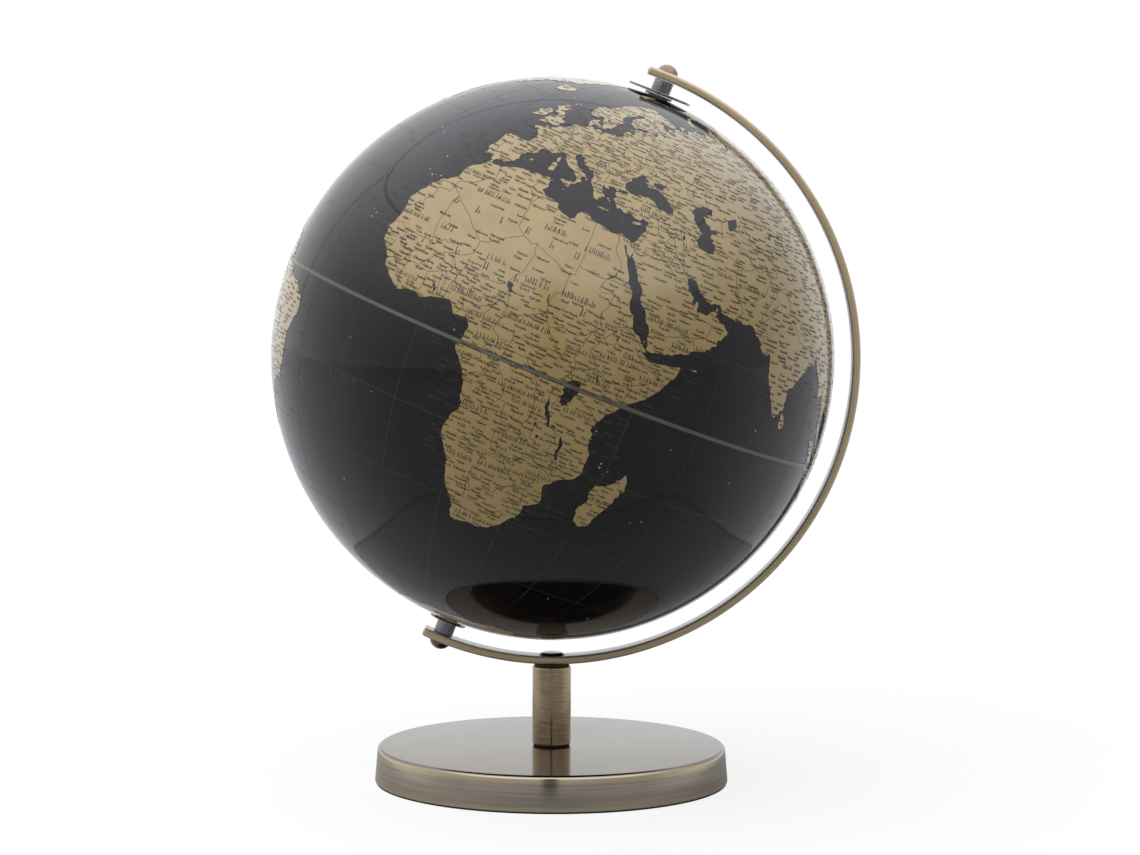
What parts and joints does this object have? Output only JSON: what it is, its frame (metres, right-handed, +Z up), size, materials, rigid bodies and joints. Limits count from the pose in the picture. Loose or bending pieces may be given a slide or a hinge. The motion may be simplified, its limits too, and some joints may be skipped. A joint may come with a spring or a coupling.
{
  "type": "desktop globe on stand",
  "caption": "Terrestrial globe that turns on a tilted semi-meridian arm, held by a short stem on a weighted round base.",
  "frame": {"origin": "centre of the foot pad's underside, on the table directly under the stem", "axes": "+Z up along the stem; the semi-meridian arm lies in the XZ plane on the +X side, and the north pole tilts towards +X; -Y is the front"},
  "size_m": [0.2615, 0.25, 0.3206],
  "materials": {
    "antique_brass": "brushed antique brass plating under lacquer",
    "blackened_steel": "blackened cross-recess screw",
    "zinc_steel": "turned, zinc plated",
    "cast_iron": "raw casting",
    "foam_rubber": "matt closed-cell foam",
    "black_fibre": "matt black fibre",
    "printed_globe": "printed map under clear gloss",
    "grey_abs": "moulded",
    "cream_nylon": "moulded"
  },
  "bodies": {
    "stand": {"base_shell": "antique_brass", "ballast_weight": "cast_iron", "foot_pad": "foam_rubber", "stem_bolt": "zinc_steel", "stem_bolt_washer": "zinc_steel", "stem_bolt_lock_washer": "zinc_steel", "stem_seat_ring": "black_fibre", "stem": "antique_brass", "stem_collar": "black_fibre", "meridian_arm": "antique_brass", "arm_screw": "blackened_steel", "north_pivot_screw": "antique_brass", "north_spacer": "zinc_steel", "north_washer": "zinc_steel", "south_pivot_screw": "antique_brass", "south_spacer": "zinc_steel", "south_washer": "zinc_steel"},
    "globe": {"north_hemisphere": "printed_globe", "south_hemisphere": "printed_globe", "equator_joint_ring": "grey_abs", "north_bush": "cream_nylon", "south_bush": "cream_nylon", "north_bush_clip": "zinc_steel", "south_bush_clip": "zinc_steel"}
  },
  "joints": [
    {"name": "globe_spin", "type": "hinge", "parent": "stand", "child": "globe", "pos_m": [0, 0, 0.19], "axis": [0.3681, 0, 0.9298], "continuous": true}
  ]
}
